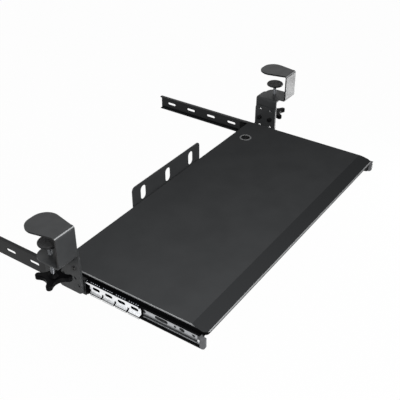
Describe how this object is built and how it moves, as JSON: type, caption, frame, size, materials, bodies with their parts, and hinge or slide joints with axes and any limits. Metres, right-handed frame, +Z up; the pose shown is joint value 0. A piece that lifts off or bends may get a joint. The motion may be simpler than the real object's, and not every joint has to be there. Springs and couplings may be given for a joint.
{
  "type": "keyboard tray",
  "caption": "Wide pull-out keyboard tray on ball-bearing slides, hung under a desk's front edge by screw clamps with star knobs; has a cable hole and a slotted rear stop.",
  "frame": {"origin": "middle of the gripped desk edge: the desk's top surface at its front face, halfway between the clamps", "axes": "+X to the user's right, +Y away from the user under the desk, +Z up"},
  "size_m": [0.8574, 0.6184, 0.1732],
  "materials": {
    "board": "satin",
    "charcoal": "satin",
    "black_steel": "satin",
    "zinc": "satin",
    "ball_steel": "gloss",
    "plastic": "matte",
    "rail_steel": "satin",
    "grey_plastic": "matte",
    "rubber": "matte"
  },
  "bodies": {
    "clamp_frame": {"left_clamp_bracket": "charcoal", "right_clamp_bracket": "charcoal", "left_top_pad": "rubber", "right_top_pad": "rubber", "left_threaded_boss": "charcoal", "right_threaded_boss": "charcoal", "left_hanger_plate": "charcoal", "right_hanger_plate": "charcoal", "left_hanger_bolts": "black_steel", "right_hanger_bolts": "black_steel", "left_outer_channel": "black_steel", "right_outer_channel": "black_steel", "left_channel_screws": "zinc", "right_channel_screws": "zinc"},
    "tray": {"tray_board": "board", "cable_grommet": "plastic", "rear_stop": "black_steel", "rear_stop_screws": "zinc", "left_rail_bracket": "black_steel", "right_rail_bracket": "black_steel", "left_bracket_screws": "zinc", "right_bracket_screws": "zinc", "left_inner_rail": "rail_steel", "right_inner_rail": "rail_steel", "left_rail_rivets": "zinc", "right_rail_rivets": "zinc", "left_rail_plug": "grey_plastic", "right_rail_plug": "grey_plastic"},
    "left_cage": {"left_ball_cage": "zinc", "left_balls": "ball_steel"},
    "left_pad": {"left_pad_cup": "charcoal", "left_pad_face": "rubber"},
    "left_screw": {"left_clamp_screw": "zinc", "left_knob": "plastic"},
    "right_cage": {"right_ball_cage": "zinc", "right_balls": "ball_steel"},
    "right_pad": {"right_pad_cup": "charcoal", "right_pad_face": "rubber"},
    "right_screw": {"right_clamp_screw": "zinc", "right_knob": "plastic"}
  },
  "joints": [
    {"name": "tray_slide", "type": "slide", "parent": "clamp_frame", "child": "tray", "axis": [0, 1, 0], "range_m": [0, 0.25]},
    {"name": "left_cage_slide", "type": "slide", "parent": "clamp_frame", "child": "left_cage", "axis": [0, 1, 0], "range_m": [0, 0.125]},
    {"name": "left_pad_lift", "type": "slide", "parent": "clamp_frame", "child": "left_pad", "axis": [0, 0, 1], "range_m": [-0.0201, 0.0201]},
    {"name": "left_knob_turn", "type": "hinge", "parent": "left_pad", "child": "left_screw", "pos_m": [-0.3965, 0.04, -0.1065], "axis": [0, 0, 1], "range_deg": [-5760, 5760]},
    {"name": "right_cage_slide", "type": "slide", "parent": "clamp_frame", "child": "right_cage", "axis": [0, 1, 0], "range_m": [0, 0.125]},
    {"name": "right_pad_lift", "type": "slide", "parent": "clamp_frame", "child": "right_pad", "axis": [0, 0, 1], "range_m": [-0.0201, 0.0201]},
    {"name": "right_knob_turn", "type": "hinge", "parent": "right_pad", "child": "right_screw", "pos_m": [0.3965, 0.04, -0.1065], "axis": [0, 0, 1], "range_deg": [-5760, 5760]}
  ],
  "couplings": [
    {"joint": "left_cage_slide", "follows": "tray_slide", "ratio": 0.5},
    {"joint": "left_pad_lift", "follows": "left_knob_turn", "m_per_rad": 0.00019894},
    {"joint": "right_cage_slide", "follows": "tray_slide", "ratio": 0.5},
    {"joint": "right_pad_lift", "follows": "right_knob_turn", "m_per_rad": 0.00019894}
  ]
}
